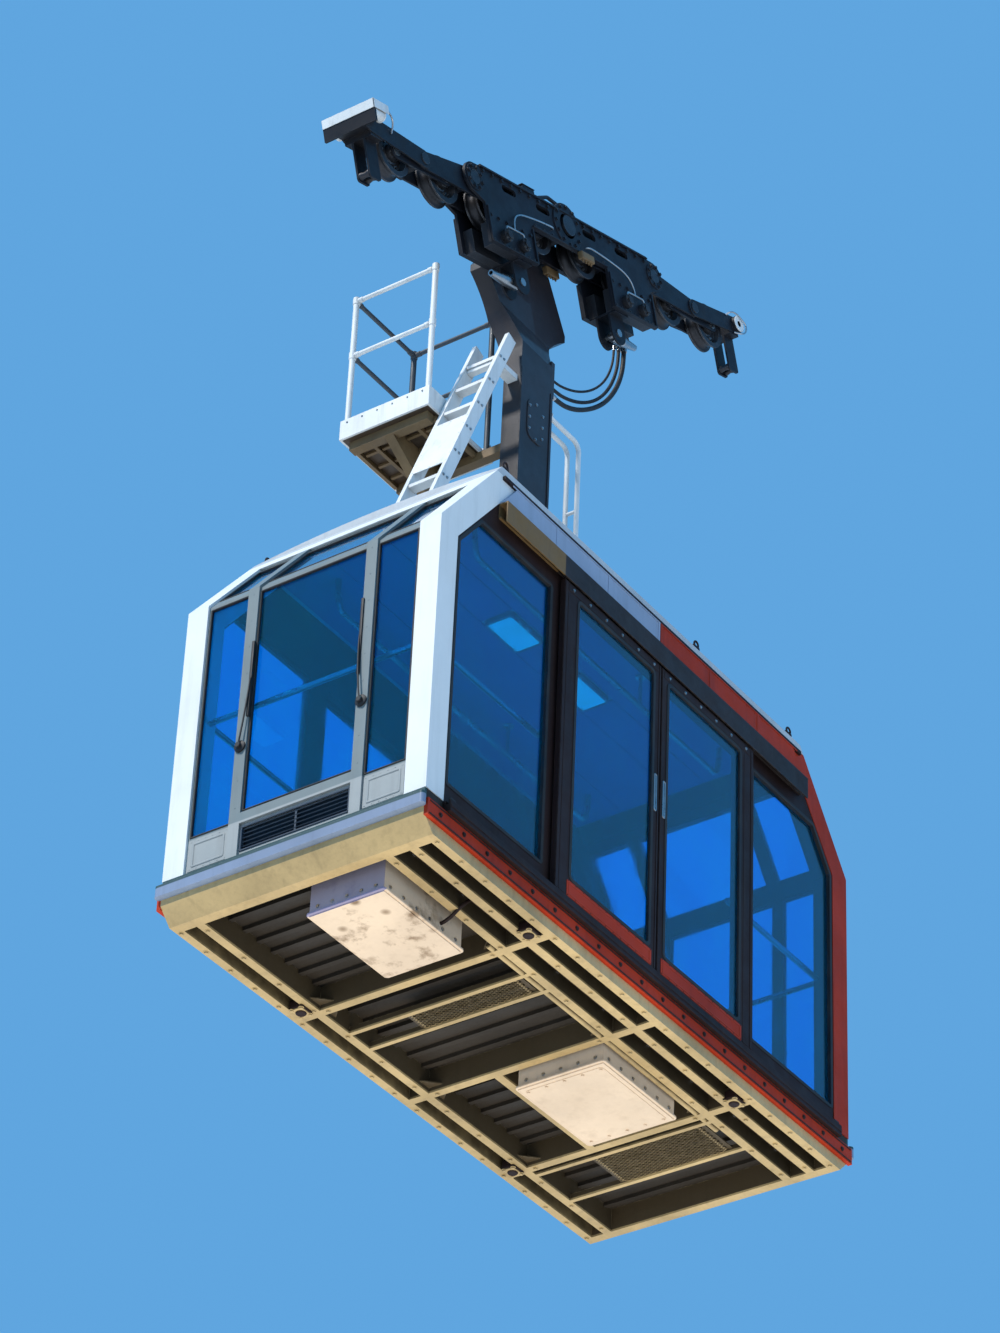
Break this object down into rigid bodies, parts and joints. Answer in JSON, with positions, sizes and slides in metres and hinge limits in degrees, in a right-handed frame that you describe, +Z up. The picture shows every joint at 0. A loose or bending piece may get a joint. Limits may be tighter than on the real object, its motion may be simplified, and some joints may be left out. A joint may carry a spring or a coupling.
{
  "type": "cable car cabin",
  "caption": "Glazed cable car cabin with sliding double doors, hung by a swinging hanger from a long wheeled carriage that rides on a sloping track rope.",
  "frame": {"origin": "centre of the track rope, straight below the main pin of the hanger", "axes": "+Z up, +Y the uphill way along the cabin, with the rope rising 18.5 degrees towards it, +X the cabin's right side seen from the rear, away from the hanger's neck"},
  "size_m": [1.863, 4.09, 6.5601],
  "materials": {
    "black_rubber": "matte",
    "blue_grey_paint": "satin",
    "brake_steel": "matte",
    "bright_steel": "satin",
    "carriage_paint": "satin",
    "cream_paint": "satin",
    "dark_trim": "satin",
    "floor_paint": "matte",
    "grey_paint": "satin",
    "hanger_paint": "satin",
    "lamp_cover": "satin",
    "red_paint": "satin",
    "roof_paint": "satin",
    "tan_paint": "satin",
    "tinted_glass": "gloss",
    "wheel_steel": "satin",
    "white_paint": "satin"
  },
  "bodies": {
    "carriage": {"wheel_axles": "bright_steel", "rockers": "carriage_paint", "rocker_beams": "carriage_paint", "carriage_pins": "bright_steel", "main_beam": "carriage_paint", "rope_brakes": "brake_steel", "haul_brackets": "carriage_paint", "haul_sockets": "bright_steel", "front_head": "carriage_paint", "rear_head": "carriage_paint", "terminal_box": "carriage_paint", "top_conduit": "bright_steel", "hose_1": "black_rubber", "hose_2": "black_rubber", "hose_3": "black_rubber"},
    "wheel_1": {"wheel_1": "wheel_steel"},
    "wheel_2": {"wheel_2": "wheel_steel"},
    "wheel_3": {"wheel_3": "wheel_steel"},
    "wheel_4": {"wheel_4": "wheel_steel"},
    "wheel_5": {"wheel_5": "wheel_steel"},
    "wheel_6": {"wheel_6": "wheel_steel"},
    "wheel_7": {"wheel_7": "wheel_steel"},
    "wheel_8": {"wheel_8": "wheel_steel"},
    "cabin": {"ceiling_lamps": "lamp_cover", "door_head_tracks": "dark_trim", "door_sill_tracks": "dark_trim", "end_buffers": "blue_grey_paint", "end_grilles": "dark_trim", "fascia_front": "blue_grey_paint", "fascia_rear": "red_paint", "fixed_glass": "tinted_glass", "floor_boxes": "cream_paint", "floor_pan": "floor_paint", "front_frame": "white_paint", "front_wall": "grey_paint", "guard_hoop": "white_paint", "handrails": "bright_steel", "hanger_stem": "hanger_paint", "ladder": "white_paint", "main_pin": "bright_steel", "platform_arms": "hanger_paint", "platform_rails": "white_paint", "platform_tray": "white_paint", "rear_frame": "red_paint", "rear_wall": "grey_paint", "roof": "roof_paint", "roof_spreader": "hanger_paint", "side_sills": "red_paint", "side_wall_left": "dark_trim", "side_wall_right": "dark_trim", "underfloor_panels": "tan_paint", "underframe": "tan_paint"},
    "door_right_front_leaf": {"door_right_front": "dark_trim", "door_glass_right_front": "tinted_glass"},
    "door_right_rear_leaf": {"door_right_rear": "dark_trim", "door_glass_right_rear": "tinted_glass"},
    "door_left_front_leaf": {"door_left_front": "dark_trim", "door_glass_left_front": "tinted_glass"},
    "door_left_rear_leaf": {"door_left_rear": "dark_trim", "door_glass_left_rear": "tinted_glass"}
  },
  "joints": [
    {"name": "hanger_swing", "type": "hinge", "parent": "carriage", "child": "cabin", "pos_m": [0, 0, 0.24781], "axis": [1, 0, 0], "range_deg": [-20, 20], "deforming": ["hose_1", "hose_2", "hose_3"]},
    {"name": "wheel_1_spin", "type": "hinge", "parent": "carriage", "child": "wheel_1", "pos_m": [0, -1.63237, -0.38875], "axis": [1, 0, 0], "continuous": true},
    {"name": "wheel_2_spin", "type": "hinge", "parent": "carriage", "child": "wheel_2", "pos_m": [0, -1.15821, -0.2301], "axis": [1, 0, 0], "continuous": true},
    {"name": "wheel_3_spin", "type": "hinge", "parent": "carriage", "child": "wheel_3", "pos_m": [0, -0.68405, -0.07144], "axis": [1, 0, 0], "continuous": true},
    {"name": "wheel_4_spin", "type": "hinge", "parent": "carriage", "child": "wheel_4", "pos_m": [0, -0.20989, 0.08721], "axis": [1, 0, 0], "continuous": true},
    {"name": "wheel_5_spin", "type": "hinge", "parent": "carriage", "child": "wheel_5", "pos_m": [0, 0.26427, 0.24586], "axis": [1, 0, 0], "continuous": true},
    {"name": "wheel_6_spin", "type": "hinge", "parent": "carriage", "child": "wheel_6", "pos_m": [0, 0.73844, 0.40451], "axis": [1, 0, 0], "continuous": true},
    {"name": "wheel_7_spin", "type": "hinge", "parent": "carriage", "child": "wheel_7", "pos_m": [0, 1.2126, 0.56317], "axis": [1, 0, 0], "continuous": true},
    {"name": "wheel_8_spin", "type": "hinge", "parent": "carriage", "child": "wheel_8", "pos_m": [0, 1.68676, 0.72182], "axis": [1, 0, 0], "continuous": true},
    {"name": "door_right_front_slide", "type": "slide", "parent": "cabin", "child": "door_right_front_leaf", "axis": [0, -1, 0], "range_m": [0, 0.86]},
    {"name": "door_right_rear_slide", "type": "slide", "parent": "cabin", "child": "door_right_rear_leaf", "axis": [0, 1, 0], "range_m": [0, 0.86]},
    {"name": "door_left_front_slide", "type": "slide", "parent": "cabin", "child": "door_left_front_leaf", "axis": [0, -1, 0], "range_m": [0, 0.86]},
    {"name": "door_left_rear_slide", "type": "slide", "parent": "cabin", "child": "door_left_rear_leaf", "axis": [0, 1, 0], "range_m": [0, 0.86]}
  ],
  "couplings": [
    {"joint": "door_right_rear_slide", "follows": "door_right_front_slide", "ratio": 1},
    {"joint": "door_left_rear_slide", "follows": "door_left_front_slide", "ratio": 1}
  ]
}
